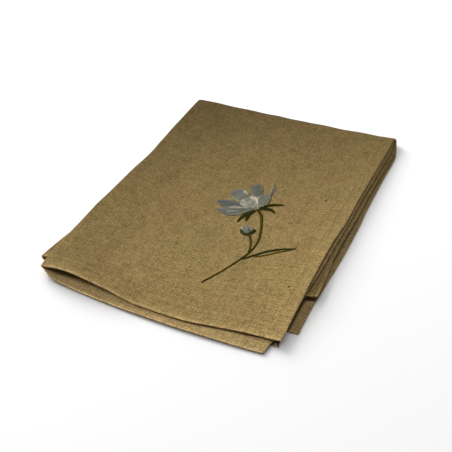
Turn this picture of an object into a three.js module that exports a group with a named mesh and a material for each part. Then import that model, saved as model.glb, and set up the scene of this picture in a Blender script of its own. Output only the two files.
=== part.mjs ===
// Linen placemat with turned hems, folded twice into a quarter of its size.
// Millimetres, +Z up. +Y points to the back, where the second fold lies, and the
// first fold runs down the left side. The origin is on the table, under the middle.

import * as THREE from 'three';

const { clamp, lerp, smoothstep } = THREE.MathUtils;

// The cloth laid flat, from the two fold lines to its four edges.
const faceWidth = 181;
const turnedWidth = 169;
const upperLength = 233;
const lowerLength = 217;

// The cloth, its turned hem and its folds.
const clothThickness = 1.0;
const hemThickness = 1.6;
const hemWidth = 10;
const hemStep = 1.5;
const sideFoldRadius = 1.8;
const backFoldRadius = 2 * sideFoldRadius;
const backLineLeft = 119.5;
const backLineRight = 116.5;
const bottomHeight = clothThickness / 2;

// Grid cells of each stretch of cloth.
const sideFoldCells = 6;
const backFoldCells = 8;
const acrossCells = 15;
const upperCells = 14;
const lowerCells = 12;
const hemCells = 2;

// Layers from the table up: bottom, lowerInner, upperInner, face. The bottom and the
// lowerInner layer meet in the lowerFold, the upperInner and the face in the upperFold.
// Each row is a section at a share of the depth, from the front edges to the back fold.
const sideLines = [
  { depth: 0.0, lowerFold: -103.8, upperFold: -94.8, bottom: 93.8, lowerInner: 94.8, upperInner: 80.0, face: 87.8 },
  { depth: 0.1, lowerFold: -100.6, upperFold: -94.2, bottom: 93.6, lowerInner: 93.8, upperInner: 84.0, face: 87.8 },
  { depth: 0.2, lowerFold: -96.6, upperFold: -94.0, bottom: 94.6, lowerInner: 92.4, upperInner: 87.2, face: 87.7 },
  { depth: 0.3, lowerFold: -94.4, upperFold: -94.0, bottom: 95.6, lowerInner: 92.2, upperInner: 88.8, face: 87.6 },
  { depth: 0.4, lowerFold: -93.0, upperFold: -92.4, bottom: 96.2, lowerInner: 92.6, upperInner: 89.6, face: 87.9 },
  { depth: 0.5, lowerFold: -92.2, upperFold: -91.2, bottom: 96.2, lowerInner: 93.0, upperInner: 90.0, face: 88.9 },
  { depth: 0.6, lowerFold: -91.4, upperFold: -89.8, bottom: 95.4, lowerInner: 92.8, upperInner: 90.2, face: 89.0 },
  { depth: 0.75, lowerFold: -91.4, upperFold: -90.4, bottom: 95.4, lowerInner: 93.6, upperInner: 91.0, face: 89.4 },
  { depth: 0.9, lowerFold: -91.8, upperFold: -91.2, bottom: 96.0, lowerInner: 94.4, upperInner: 91.8, face: 90.0 },
  { depth: 1.0, lowerFold: -91.8, upperFold: -91.6, bottom: 91.6, lowerInner: 91.2, upperInner: 90.8, face: 90.2 },
];

// Front edge of each layer, at a share of the width from the left fold.
const frontLines = [
  { width: 0.0, bottom: -104, lowerInner: -104, upperInner: -114, face: -115.8 },
  { width: 0.06, bottom: -103, lowerInner: -103, upperInner: -119.2, face: -116 },
  { width: 0.5, bottom: -101, lowerInner: -92, upperInner: -124.1, face: -119.4 },
  { width: 0.64, bottom: -100.5, lowerInner: -86.2, upperInner: -124.3, face: -119 },
  { width: 0.76, bottom: -100, lowerInner: -80.4, upperInner: -123.8, face: -115.8 },
  { width: 0.85, bottom: -99.6, lowerInner: -75.7, upperInner: -123.2, face: -113.5 },
  { width: 0.92, bottom: -99.3, lowerInner: -72, upperInner: -122.6, face: -112.4 },
  { width: 1.0, bottom: -99, lowerInner: -68, upperInner: -121.7, face: -111.9 },
];

// Heights of the layers above the bottom one, at shares of the width.
const heightWidths = [0, 0.12, 0.25, 0.75, 0.9, 1];
const stackHeights = [
  {
    depth: 0.0,
    lowerInner: [5.2, 4.0, 3.3, 2.8, 3.6, 4.8],
    upperInner: [7.4, 6.0, 5.2, 4.4, 4.3, 4.7],
    face: [10.6, 10.4, 8.4, 6.8, 6.7, 7.3],
  },
  {
    depth: 0.14,
    lowerInner: [4.5, 3.4, 2.6, 2.5, 3.6, 4.9],
    upperInner: [7.0, 5.6, 4.6, 4.3, 4.2, 4.3],
    face: [10.4, 9.7, 7.8, 6.8, 7.0, 8.2],
  },
  {
    depth: 0.2,
    lowerInner: [4.2, 3.1, 2.4, 2.4, 3.5, 4.9],
    upperInner: [6.8, 5.4, 4.3, 4.3, 5.1, 5.9],
    face: [10.3, 9.4, 7.6, 6.8, 7.8, 9.5],
  },
  {
    depth: 0.26,
    lowerInner: [4.1, 3.1, 2.4, 2.4, 3.4, 4.8],
    upperInner: [6.7, 5.3, 4.3, 4.3, 5.5, 6.8],
    face: [10.2, 9.2, 7.5, 6.8, 8.0, 9.7],
  },
  {
    depth: 0.5,
    lowerInner: [3.6, 2.9, 2.3, 2.3, 3.2, 4.3],
    upperInner: [6.3, 5.0, 4.1, 4.1, 5.4, 6.6],
    face: [9.6, 8.6, 7.2, 6.6, 7.7, 9.1],
  },
  {
    depth: 1.0,
    lowerInner: [2.6, 2.2, 2.0, 2.0, 2.6, 3.1],
    upperInner: [4.7, 4.3, 4.1, 4.1, 4.7, 5.2],
    face: [7.0, 6.5, 6.1, 6.1, 6.8, 7.5],
  },
];

// The front lip, where the upperInner layer drops to the table and the face gapes open.
const lipHeights = [
  { width: 0.0, upperInner: 4.6, face: 8.2 },
  { width: 0.03, upperInner: 4.2, face: 9.4 },
  { width: 0.06, upperInner: 3.0, face: 10.7 },
  { width: 0.1, upperInner: 2.1, face: 11.8 },
  { width: 0.15, upperInner: 1.6, face: 12.4 },
  { width: 0.2, upperInner: 1.4, face: 11.7 },
  { width: 0.25, upperInner: 1.3, face: 10.4 },
  { width: 0.33, upperInner: 1.4, face: 8.8 },
  { width: 0.4, upperInner: 1.5, face: 5.6 },
  { width: 0.46, upperInner: 1.6, face: 4.1 },
  { width: 0.76, upperInner: 1.7, face: 4.0 },
  { width: 0.83, upperInner: 1.6, face: 4.0 },
  { width: 0.88, upperInner: 1.5, face: 4.1 },
  { width: 0.94, upperInner: 1.3, face: 4.5 },
  { width: 1.0, upperInner: 1.2, face: 5.4 },
];

// Share of the depth that stays flat along the edge, and over which the lip drops.
const lipFlat = { upperInner: 0.03, face: 0 };
const lipDepths = [
  { width: 0.0, depth: 0.07 },
  { width: 0.5, depth: 0.12 },
  { width: 1.0, depth: 0.15 },
];

// A smooth curve through the points of a table, which never overshoots them.
function curveThrough(stations, values, at) {
  const last = stations.length - 1;
  const x = clamp(at, stations[0], stations[last]);
  let i = 0;
  while (i < last - 1 && x > stations[i + 1]) i += 1;
  const rise = (k) => (values[k + 1] - values[k]) / (stations[k + 1] - stations[k]);
  const slope = (k) => {
    if (k === 0) return rise(0);
    if (k === last) return rise(last - 1);
    const product = rise(k - 1) * rise(k);
    return product > 0 ? (2 * product) / (rise(k - 1) + rise(k)) : 0;
  };
  const step = stations[i + 1] - stations[i];
  const s = (x - stations[i]) / step;
  const r = 1 - s;
  return (
    values[i] * (1 + 2 * s) * r * r + slope(i) * step * s * r * r
    + values[i + 1] * s * s * (3 - 2 * s) - slope(i + 1) * step * s * s * r
  );
}

function column(table, name) {
  return table.map((row) => row[name]);
}

function sideLine(name, depth) {
  return curveThrough(column(sideLines, 'depth'), column(sideLines, name), depth);
}

function frontLine(layer, width) {
  return curveThrough(column(frontLines, 'width'), column(frontLines, layer), width);
}

function stackHeight(layer, width, depth) {
  const sections = stackHeights.map((row) => curveThrough(heightWidths, row[layer], width));
  return curveThrough(column(stackHeights, 'depth'), sections, depth);
}

// Height of an upper layer: the stack's own height, eased into the lip at the front.
function upperHeight(layer, width, depth) {
  const lip = curveThrough(column(lipHeights, 'width'), column(lipHeights, layer), width);
  const reach = curveThrough(column(lipDepths, 'width'), column(lipDepths, 'depth'), width);
  const stack = stackHeight(layer, width, depth);
  return lerp(lip, stack, smoothstep(depth, lipFlat[layer], reach));
}

// Blends the four layers' values by a level that runs from 0, bottom, to 3, face.
function atLevel(values, level) {
  const lower = clamp(Math.floor(level), 0, 2);
  return lerp(values[lower], values[lower + 1], clamp(level - lower, 0, 1));
}

// A strip bent in a half circle: the run past the bend and the angle around it.
function bend(distance, radius) {
  const angle = clamp(distance / radius, -Math.PI / 2, Math.PI / 2);
  return { run: Math.abs(distance) - Math.abs(angle) * radius, angle };
}

// Place of the cloth's middle: across runs from the left fold line, positive on the
// face half, and along from the back fold line, positive on the upper half.
function clothPoint(across, along) {
  const side = bend(across, sideFoldRadius);
  const inward = side.run + sideFoldRadius * (1 - Math.cos(side.angle));
  const offset = sideFoldRadius * Math.sin(side.angle);
  const middleWidth = (faceWidth + turnedWidth) / 2 - sideFoldRadius * (Math.PI / 2 - 1);
  const halfWidth = middleWidth + ((faceWidth - turnedWidth) / 2) * Math.sin(side.angle);
  const width = inward / halfWidth;

  const back = bend(along, backFoldRadius);
  const outerRadius = backFoldRadius + sideFoldRadius;
  const radius = backFoldRadius + offset;
  const forward = back.run + outerRadius - radius * Math.cos(back.angle);
  const rise = radius * Math.sin(back.angle);
  const middleLength = (upperLength + lowerLength) / 2 + outerRadius - (backFoldRadius * Math.PI) / 2;
  const halfLength = middleLength + ((upperLength - lowerLength) / 2) * Math.sin(back.angle);
  const depth = 1 - forward / halfLength;
  const level = (rise + outerRadius) / (2 * sideFoldRadius);

  const layers = ['bottom', 'lowerInner', 'upperInner', 'face'];
  const folds = ['lowerFold', 'lowerFold', 'upperFold', 'upperFold'];
  const left = atLevel(folds.map((name) => sideLine(name, depth)), level);
  const right = atLevel(layers.map((name) => sideLine(name, depth)), level);
  const front = atLevel(layers.map((name) => frontLine(name, width)), level);
  const heights = [
    bottomHeight,
    stackHeight('lowerInner', width, depth),
    upperHeight('upperInner', width, depth),
    upperHeight('face', width, depth),
  ];
  return new THREE.Vector3(
    lerp(left, right, width),
    lerp(front, lerp(backLineLeft, backLineRight, width), depth),
    atLevel(heights, level),
  );
}

// Direction in which the cloth's right side faces.
function clothNormal(across, along) {
  const step = 0.05;
  const alongAcross = clothPoint(across + step, along).sub(clothPoint(across - step, along));
  const alongLength = clothPoint(across, along + step).sub(clothPoint(across, along - step));
  return alongLength.cross(alongAcross).normalize();
}

// The hem is turned to the wrong side, so the cloth grows thicker there alone.
function wrongSideDepth(across, along) {
  const toEdge = Math.min(
    faceWidth - across,
    turnedWidth + across,
    upperLength - along,
    lowerLength + along,
  );
  const isHem = toEdge < hemWidth - hemStep / 2;
  return isHem ? hemThickness - clothThickness / 2 : clothThickness / 2;
}

// Grid lines from the end of a fold to an edge: close at the fold and at the hem.
function stretchLines(foldEnd, edge, cells) {
  const lines = [];
  const hemStart = edge - hemWidth;
  for (let i = 1; i <= cells; i += 1) {
    lines.push(lerp(foldEnd, hemStart, (1 - Math.cos((Math.PI * i) / cells)) / 2));
  }
  for (let i = 0; i <= hemCells; i += 1) {
    lines.push(lerp(hemStart + hemStep, edge, i / hemCells));
  }
  return lines;
}

function foldLines(radius, cells) {
  const foldEnd = (radius * Math.PI) / 2;
  return Array.from({ length: cells + 1 }, (_, i) => lerp(-foldEnd, foldEnd, i / cells));
}

function gridLines(radius, foldCells, negative, positive) {
  const foldEnd = (radius * Math.PI) / 2;
  return [
    ...stretchLines(foldEnd, negative.length, negative.cells).map((line) => -line).reverse(),
    ...foldLines(radius, foldCells),
    ...stretchLines(foldEnd, positive.length, positive.cells),
  ];
}

// A closed sheet: right side, wrong side and the rim between them.
function clothGeometry() {
  const columns = gridLines(
    sideFoldRadius,
    sideFoldCells,
    { length: turnedWidth, cells: acrossCells },
    { length: faceWidth, cells: acrossCells },
  );
  const rows = gridLines(
    backFoldRadius,
    backFoldCells,
    { length: lowerLength, cells: lowerCells },
    { length: upperLength, cells: upperCells },
  );
  const positions = [];
  const faces = [];
  for (const along of rows) {
    for (const across of columns) {
      const middle = clothPoint(across, along);
      const normal = clothNormal(across, along);
      const right = middle.clone().addScaledVector(normal, clothThickness / 2);
      const wrong = middle.clone().addScaledVector(normal, -wrongSideDepth(across, along));
      positions.push(...right.toArray(), ...wrong.toArray());
    }
  }
  const rightSide = (row, col) => 2 * (row * columns.length + col);
  const wrongSide = (row, col) => rightSide(row, col) + 1;
  const quad = (a, b, c, d) => faces.push(a, b, c, a, c, d);
  const lastRow = rows.length - 1;
  const lastCol = columns.length - 1;
  for (let row = 0; row < lastRow; row += 1) {
    for (let col = 0; col < lastCol; col += 1) {
      quad(rightSide(row, col), rightSide(row + 1, col), rightSide(row + 1, col + 1), rightSide(row, col + 1));
      quad(wrongSide(row, col), wrongSide(row, col + 1), wrongSide(row + 1, col + 1), wrongSide(row + 1, col));
    }
    quad(rightSide(row, 0), wrongSide(row, 0), wrongSide(row + 1, 0), rightSide(row + 1, 0));
    quad(rightSide(row + 1, lastCol), wrongSide(row + 1, lastCol), wrongSide(row, lastCol), rightSide(row, lastCol));
  }
  for (let col = 0; col < lastCol; col += 1) {
    quad(rightSide(0, col + 1), wrongSide(0, col + 1), wrongSide(0, col), rightSide(0, col));
    quad(rightSide(lastRow, col), wrongSide(lastRow, col), wrongSide(lastRow, col + 1), rightSide(lastRow, col + 1));
  }
  const geometry = new THREE.BufferGeometry();
  geometry.setAttribute('position', new THREE.Float32BufferAttribute(positions, 3));
  geometry.setIndex(faces);
  return geometry;
}

// Stands the folded cloth on the table with its box centred on the origin.
function centred(geometry) {
  geometry.computeBoundingBox();
  const { min, max } = geometry.boundingBox;
  geometry.translate(-(min.x + max.x) / 2, -(min.y + max.y) / 2, -min.z);
  geometry.computeVertexNormals();
  return geometry;
}

const linen = new THREE.MeshStandardMaterial({ color: 0x92805a, roughness: 0.95, metalness: 0 });

const cloth = new THREE.Mesh(centred(clothGeometry()), linen);
cloth.name = 'cloth';

const placemat = new THREE.Group();
placemat.add(cloth);

export default placemat;
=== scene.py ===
import math
import bpy
import numpy as np
from mathutils import Matrix, Vector


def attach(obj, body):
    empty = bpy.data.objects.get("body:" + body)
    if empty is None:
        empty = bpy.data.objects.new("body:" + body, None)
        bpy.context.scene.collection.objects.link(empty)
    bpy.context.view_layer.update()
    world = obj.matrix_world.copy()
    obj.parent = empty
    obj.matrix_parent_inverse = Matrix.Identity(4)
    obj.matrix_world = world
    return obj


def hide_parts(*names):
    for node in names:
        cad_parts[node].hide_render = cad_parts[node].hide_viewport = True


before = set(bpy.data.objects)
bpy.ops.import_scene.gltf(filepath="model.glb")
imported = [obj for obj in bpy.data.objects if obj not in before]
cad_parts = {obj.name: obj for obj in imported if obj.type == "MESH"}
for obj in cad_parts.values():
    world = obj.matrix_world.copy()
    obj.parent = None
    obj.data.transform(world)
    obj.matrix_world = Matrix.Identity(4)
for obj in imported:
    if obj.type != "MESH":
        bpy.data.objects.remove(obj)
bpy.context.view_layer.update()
print("frame loaded")

mm = 0.001
rng = np.random.default_rng(7)


def namedRows(keys, rows):    # a dictionary for each row of a table
    return {name: dict(zip(keys, row)) for name, row in rows.items()}


def addObject(name, data):
    made = bpy.data.objects.new(name, data)
    bpy.context.collection.objects.link(made)
    return made


def turnTo(place, aim):    # turns a camera or a lamp at a place towards its aim
    return (Vector(aim) - Vector(place)).to_track_quat("-Z", "Y")


# camera, as the photo was taken: from the front right corner, a little rolled
cameraSetup = {
    "place": (0.22115, -0.37654, 0.36390),
    "aim": (0.00875, -0.02044, 0.0),
    "roll": -6.5,
    "lens": 59.4,
    "sensor": 36.0,
}


def makeCamera(setup):
    data = bpy.data.cameras.new("photoCamera")
    data.lens = setup["lens"]
    data.sensor_width = setup["sensor"]
    camera = addObject("photoCamera", data)
    look = turnTo(setup["place"], setup["aim"]).to_matrix()
    camera.rotation_euler = (look @ Matrix.Rotation(math.radians(setup["roll"]), 3, "Z")).to_euler()
    camera.location = setup["place"]
    bpy.context.scene.camera = camera


makeCamera(cameraSetup)

# folded cloth, in mm as the flat cloth is measured: across from the first fold line,
# along from the second. The middle of the face quarter is where the tables measure from.
linenSheet = {
    "faceWidth": 181.0,
    "turnedWidth": 169.0,
    "upperLength": 233.0,
    "lowerLength": 217.0,
    "sideFoldRadius": 1.8,
    "backLineLeft": 119.5,
    "backLineRight": 116.5,
    "bottomHeight": 0.5,
    "toFrame": (4.054, 2.162),    # from the face quarter's middle to the frame's origin
    "rightSide": 0.5,             # from the cloth's middle to its right side
    "wrongSide": 0.35,
    "hemWrongSide": 0.85,
    "hemWidth": 10.0,
    "hemStep": 1.2,
    "plainerSides": 1.3,
    "hemRaise": 0.45,             # the turned hem lifts the right side over it
    "hemRiseFrom": (13.5, 9.6),
    "faceLevels": (2.3, 2.9),     # only the face is raised, from here up
    "foldAllowance": 3.0,         # cloth that the folds take, about
    "finderRounds": 4,
    "finderStride": 0.98,
    "edgeRound": 0.68,
    "cornerRadius": 1.4,
    "restingHeights": (0.6, 6.0),
    "acrossCells": (2.6, 1.9),    # grid cells of the turned and of the face part
    "alongCells": (2.6, 1.9),
    "edgeLines": (0.0, 0.07, 0.25, 0.68, 1.6, 2.8, 4.2, 5.6, 7.0, 8.1, 8.7, 9.3, 10.0, 10.8, 12.0, 13.5),
    "sideFoldCells": 12,
    "backFoldCells": 18,
}

# places of the layers' long edges at shares of the depth, front to back
sideLines = {
    "depth": (0.0, 0.1, 0.2, 0.3, 0.4, 0.5, 0.6, 0.75, 0.9, 1.0),
    "lowerFold": (-103.8, -100.6, -96.6, -94.4, -93.0, -92.2, -91.4, -91.4, -91.8, -91.8),
    "upperFold": (-94.8, -94.2, -94.0, -94.0, -92.4, -91.2, -89.8, -90.4, -91.2, -91.6),
    "bottom": (93.8, 93.6, 94.6, 95.6, 96.2, 96.2, 95.4, 95.4, 96.0, 91.6),
    "lowerInner": (94.8, 93.8, 92.4, 92.2, 92.6, 93.0, 92.8, 93.6, 94.4, 91.2),
    "upperInner": (80.0, 84.0, 87.2, 88.8, 89.6, 90.0, 90.2, 91.0, 91.8, 90.8),
    "face": (87.8, 87.8, 87.7, 87.6, 87.9, 88.9, 89.0, 89.4, 90.0, 90.2),
}

# places of the layers' front edges at shares of the width, left to right
frontLines = {
    "width": (0.0, 0.06, 0.5, 0.64, 0.76, 0.85, 0.92, 1.0),
    "bottom": (-104.0, -103.0, -101.0, -100.5, -100.0, -99.6, -99.3, -99.0),
    "lowerInner": (-104.0, -103.0, -92.0, -86.2, -80.4, -75.7, -72.0, -68.0),
    "upperInner": (-114.0, -119.2, -124.1, -124.3, -123.8, -123.2, -122.6, -121.7),
    "face": (-115.8, -116.0, -119.4, -119.0, -115.8, -113.5, -112.4, -111.9),
}

# heights of the layers: one row for each depth, one column for each width
stackHeights = {
    "width": (0.0, 0.12, 0.25, 0.75, 0.9, 1.0),
    "depth": (0.0, 0.14, 0.2, 0.26, 0.5, 1.0),
    "lowerInner": (
        (5.2, 4.0, 3.3, 2.8, 3.6, 4.8),
        (4.5, 3.4, 2.6, 2.5, 3.6, 4.9),
        (4.2, 3.1, 2.4, 2.4, 3.5, 4.9),
        (4.1, 3.1, 2.4, 2.4, 3.4, 4.8),
        (3.6, 2.9, 2.3, 2.3, 3.2, 4.3),
        (2.6, 2.2, 2.0, 2.0, 2.6, 3.1),
    ),
    "upperInner": (
        (7.4, 6.0, 5.2, 4.4, 4.3, 4.7),
        (7.0, 5.6, 4.6, 4.3, 4.2, 4.3),
        (6.8, 5.4, 4.3, 4.3, 5.1, 5.9),
        (6.7, 5.3, 4.3, 4.3, 5.5, 6.8),
        (6.3, 5.0, 4.1, 4.1, 5.4, 6.6),
        (4.7, 4.3, 4.1, 4.1, 4.7, 5.2),
    ),
    "face": (
        (10.6, 10.4, 8.4, 6.8, 6.7, 7.3),
        (10.4, 9.7, 7.8, 6.8, 7.0, 8.2),
        (10.3, 9.4, 7.6, 6.8, 7.8, 9.5),
        (10.2, 9.2, 7.5, 6.8, 8.0, 9.7),
        (9.6, 8.6, 7.2, 6.6, 7.7, 9.1),
        (7.0, 6.5, 6.1, 6.1, 6.8, 7.5),
    ),
}

# the front lip: the layer under the face drops to the table and the face gapes open
lipHeights = {
    "width": (0.0, 0.03, 0.06, 0.1, 0.15, 0.2, 0.25, 0.33, 0.4, 0.46, 0.76, 0.83, 0.88, 0.94, 1.0),
    "upperInner": (4.6, 4.2, 3.0, 2.1, 1.6, 1.4, 1.3, 1.4, 1.5, 1.6, 1.7, 1.6, 1.5, 1.3, 1.2),
    "face": (8.2, 9.4, 10.7, 11.8, 12.4, 11.7, 10.4, 8.8, 5.6, 4.1, 4.0, 4.0, 4.1, 4.5, 5.4),
}
lipFlat = {"upperInner": 0.03, "face": 0.0}
lipReach = {"width": (0.0, 0.5, 1.0), "depth": (0.07, 0.12, 0.15)}

# soft troughs and ridges in the lying cloth: start, end, width and rise, in mm
softCreases = (
    ((-84, -60), (-52, 20), 11, -0.35),
    ((-62, -92), (5, -102), 9, -0.4),
    ((-70, 40), (-30, 95), 13, -0.3),
    ((-30, -62), (-12, -48), 9, 0.35),
    ((20, -95), (74, -88), 8, -0.35),
    ((52, 20), (70, -60), 14, 0.3),
    ((-10, 60), (60, 84), 12, 0.3),
)
softWaves = {"rise": 0.13, "bow": 6.0, "lengths": (31.0, 47.0, 23.0, 62.0), "turns": (0.4, 1.7, 2.6, 1.1)}


def cubic(start, end, startSlope, endSlope, s):    # from one point to the next
    r = 1 - s
    return (
        start * (1 + 2 * s) * r * r + startSlope * s * r * r
        + end * s * s * (3 - 2 * s) - endSlope * s * s * r
    )


def curveThrough(stations, values, at):    # smooth, and never past the table's own values
    stations = np.asarray(stations, float)
    at = np.clip(at, stations[0], stations[-1])
    values = np.asarray(values, float).reshape(len(stations), -1)
    values = np.broadcast_to(values, (len(stations), at.size))
    rises = np.diff(values, axis=0) / np.diff(stations)[:, None]
    slopes = np.empty_like(values)
    slopes[0], slopes[-1] = rises[0], rises[-1]
    product = rises[:-1] * rises[1:]
    total = rises[:-1] + rises[1:]
    slopes[1:-1] = np.where(product > 0, 2 * product / np.where(total == 0, 1, total), 0)
    i = np.clip(np.searchsorted(stations, at) - 1, 0, len(stations) - 2)
    pick = np.arange(at.size)
    step = stations[i + 1] - stations[i]
    s = (at - stations[i]) / step
    return cubic(values[i, pick], values[i + 1, pick], slopes[i, pick] * step, slopes[i + 1, pick] * step, s)


def tableLine(table, stations, name, at):
    return curveThrough(table[stations], table[name], at)


def smoothStep(x, low, high):
    s = np.clip((x - low) / (high - low), 0, 1)
    return s * s * (3 - 2 * s)


def stackHeight(layer, width, depth):
    sections = [curveThrough(stackHeights["width"], row, width) for row in stackHeights[layer]]
    return curveThrough(stackHeights["depth"], sections, depth)


def upperHeight(layer, width, depth):
    lip = tableLine(lipHeights, "width", layer, width)
    reach = tableLine(lipReach, "width", "depth", width)
    eased = smoothStep(depth, lipFlat[layer], reach)
    return lip + (stackHeight(layer, width, depth) - lip) * eased


def atLevel(values, level):    # level runs from 0, the bottom layer, to 3, the face
    values = np.array(values)
    lower = np.clip(np.floor(level), 0, 2).astype(int)
    pick = np.arange(level.size)
    share = np.clip(level - lower, 0, 1)
    return values[lower, pick] * (1 - share) + values[lower + 1, pick] * share


def bend(distance, radius):    # a strip bent in a half circle: run past the bend, and angle
    angle = np.clip(distance / radius, -math.pi / 2, math.pi / 2)
    return np.abs(distance) - np.abs(angle) * radius, angle


def reliefAt(x, y):    # soft unevenness of the lying stack, in mm
    rise = np.zeros_like(x)
    for length, turn in zip(softWaves["lengths"], softWaves["turns"]):
        run = x * math.cos(turn) + y * math.sin(turn)
        aside = y * math.cos(turn) - x * math.sin(turn)
        bowed = run + softWaves["bow"] * np.sin(aside / length * 2 + turn)
        rise += softWaves["rise"] * np.sin(bowed * 2 * math.pi / length)
    for start, end, width, height in softCreases:
        start, end = np.array(start, float), np.array(end, float)
        axis = end - start
        length = np.linalg.norm(axis)
        run = ((x - start[0]) * axis[0] + (y - start[1]) * axis[1]) / length
        aside = ((y - start[1]) * axis[0] - (x - start[0]) * axis[1]) / length
        past = np.maximum(np.maximum(-run, run - length), 0)
        rise += height * np.exp(-(aside**2 + past**2) / width**2)
    return rise


def hemDistance(across, along):    # from the nearest cut edge, in mm
    size = linenSheet
    return np.minimum.reduce([
        size["faceWidth"] - across,
        size["turnedWidth"] + across,
        size["upperLength"] - along,
        size["lowerLength"] + along,
    ])


def clothMiddle(across, along):    # place of the cloth's middle plane, folded, in mm
    size = linenSheet
    r = size["sideFoldRadius"]
    backRadius = 2 * r
    outerRadius = backRadius + r
    run, angle = bend(across, r)
    inward = run + r * (1 - np.cos(angle))
    offset = r * np.sin(angle)
    middleWidth = (size["faceWidth"] + size["turnedWidth"]) / 2 - r * (math.pi / 2 - 1)
    width = inward / (middleWidth + (size["faceWidth"] - size["turnedWidth"]) / 2 * np.sin(angle))

    run, angle = bend(along, backRadius)
    forward = run + outerRadius - (backRadius + offset) * np.cos(angle)
    rise = (backRadius + offset) * np.sin(angle)
    middleLength = (size["upperLength"] + size["lowerLength"]) / 2 + outerRadius - backRadius * math.pi / 2
    depth = 1 - forward / (middleLength + (size["upperLength"] - size["lowerLength"]) / 2 * np.sin(angle))
    level = (rise + outerRadius) / (2 * r)

    layers = ("bottom", "lowerInner", "upperInner", "face")
    folds = ("lowerFold", "lowerFold", "upperFold", "upperFold")
    left = atLevel([tableLine(sideLines, "depth", name, depth) for name in folds], level)
    right = atLevel([tableLine(sideLines, "depth", name, depth) for name in layers], level)
    front = atLevel([tableLine(frontLines, "width", name, width) for name in layers], level)
    back = size["backLineLeft"] + (size["backLineRight"] - size["backLineLeft"]) * width
    z = atLevel([
        np.full(width.size, size["bottomHeight"]),
        stackHeight("lowerInner", width, depth),
        upperHeight("upperInner", width, depth),
        upperHeight("face", width, depth),
    ], level)
    x = left + (right - left) * width
    y = front + (back - front) * depth
    onStack = smoothStep(z, *size["restingHeights"])    # what lies on the table stays flat
    overHem = smoothStep(hemDistance(across, along), *size["hemRiseFrom"])
    overHem = overHem * smoothStep(level, *size["faceLevels"])
    z = z + reliefAt(x, y) * onStack + size["hemRaise"] * overHem
    return np.stack([x, y, z], axis=-1)


def clothNormal(across, along):    # towards the cloth's right side
    step = 0.05
    alongAcross = clothMiddle(across + step, along) - clothMiddle(across - step, along)
    alongLength = clothMiddle(across, along + step) - clothMiddle(across, along - step)
    normal = np.cross(alongLength, alongAcross)
    return normal / np.linalg.norm(normal, axis=-1, keepdims=True)


def flatPlace(x, y):    # finds where a place seen on the face lies on the flat cloth
    across = x + linenSheet["faceWidth"] / 2 + linenSheet["foldAllowance"]
    along = linenSheet["upperLength"] / 2 + linenSheet["foldAllowance"] - y
    for _ in range(linenSheet["finderRounds"]):
        off = clothMiddle(across, along)
        across = across + (x - off[:, 0]) * linenSheet["finderStride"]
        along = along - (y - off[:, 1]) * linenSheet["finderStride"]
    return across, along


def flatMetres(across, along):    # the cloth's own flat coordinates, from one corner
    return np.stack([across + linenSheet["turnedWidth"], along + linenSheet["lowerLength"]], axis=-1) * mm


def toFrame(points):    # mm from the face quarter's middle, to metres in the frame
    return (points + np.array([*linenSheet["toFrame"], 0.0])) * mm


hemSewing = {
    "inset": 8.6,              # from the cloth's edge, mm
    "dent": 0.1,
    "dentWidth": 0.7,
    "pucker": 0.1,
    "puckerWidth": 3.5,
    "puckerLength": 6.5,
    "puckerDrift": 17.0,
    "pitch": 3.1,
    "length": 2.2,
    "width": 0.42,
    "height": 0.3,
    "lift": 0.02,
    "guideStep": 0.8,
    "unevenness": 0.15,
    "seed": 3,
}


def stitchDent(across, along, distance):    # the hem's sewing draws the cloth in, unevenly
    sewing = hemSewing
    toSide = np.minimum(linenSheet["faceWidth"] - across, linenSheet["turnedWidth"] + across)
    run = np.where(toSide <= distance + 0.01, along, across)
    drift = 2 * np.sin(run / sewing["puckerDrift"])
    drawn = 0.6 + 0.4 * np.sin(run * 2 * math.pi / sewing["puckerLength"] + drift)
    dent = sewing["dent"] * np.exp(-(((distance - sewing["inset"]) / sewing["dentWidth"]) ** 2)) * drawn
    pucker = np.exp(-(((distance - sewing["inset"]) / sewing["puckerWidth"]) ** 2))
    return dent + sewing["pucker"] * pucker * (drawn - 0.6)


def stretchLines(foldEnd, edge, cell):    # grid lines from a fold to an edge
    hem = [edge - distance for distance in reversed(linenSheet["edgeLines"])]
    count = math.ceil((hem[0] - foldEnd) / cell)
    return [*np.linspace(foldEnd, hem[0], count, endpoint=False)[1:], *hem]


def gridLines(radius, foldCells, negative, positive, cells):
    foldEnd = radius * math.pi / 2
    return np.array([
        *(-line for line in reversed(stretchLines(foldEnd, negative, cells[0]))),
        *np.linspace(-foldEnd, foldEnd, foldCells + 1),
        *stretchLines(foldEnd, positive, cells[1]),
    ])


def roundedCorners(across, along):    # pulls the flat cloth's four corners in
    size = linenSheet
    radius = size["cornerRadius"]
    sideEdge = np.where(across > 0, size["faceWidth"], size["turnedWidth"])
    endEdge = np.where(along > 0, size["upperLength"], size["lowerLength"])
    p = np.clip((radius - (sideEdge - np.abs(across))) / radius, 0, 1)
    q = np.clip((radius - (endEdge - np.abs(along))) / radius, 0, 1)
    inAcross = radius * p * (1 - np.sqrt(1 - q * q / 2))
    inAlong = radius * q * (1 - np.sqrt(1 - p * p / 2))
    return across - np.sign(across) * inAcross, along - np.sign(along) * inAlong


def storePoints(mesh, label, values):    # keeps a value or a direction for each point
    kind, key = ("FLOAT_VECTOR", "vector") if values.ndim == 2 else ("FLOAT", "value")
    mesh.attributes.new(label, kind, "POINT").data.foreach_set(key, values.ravel())


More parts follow.
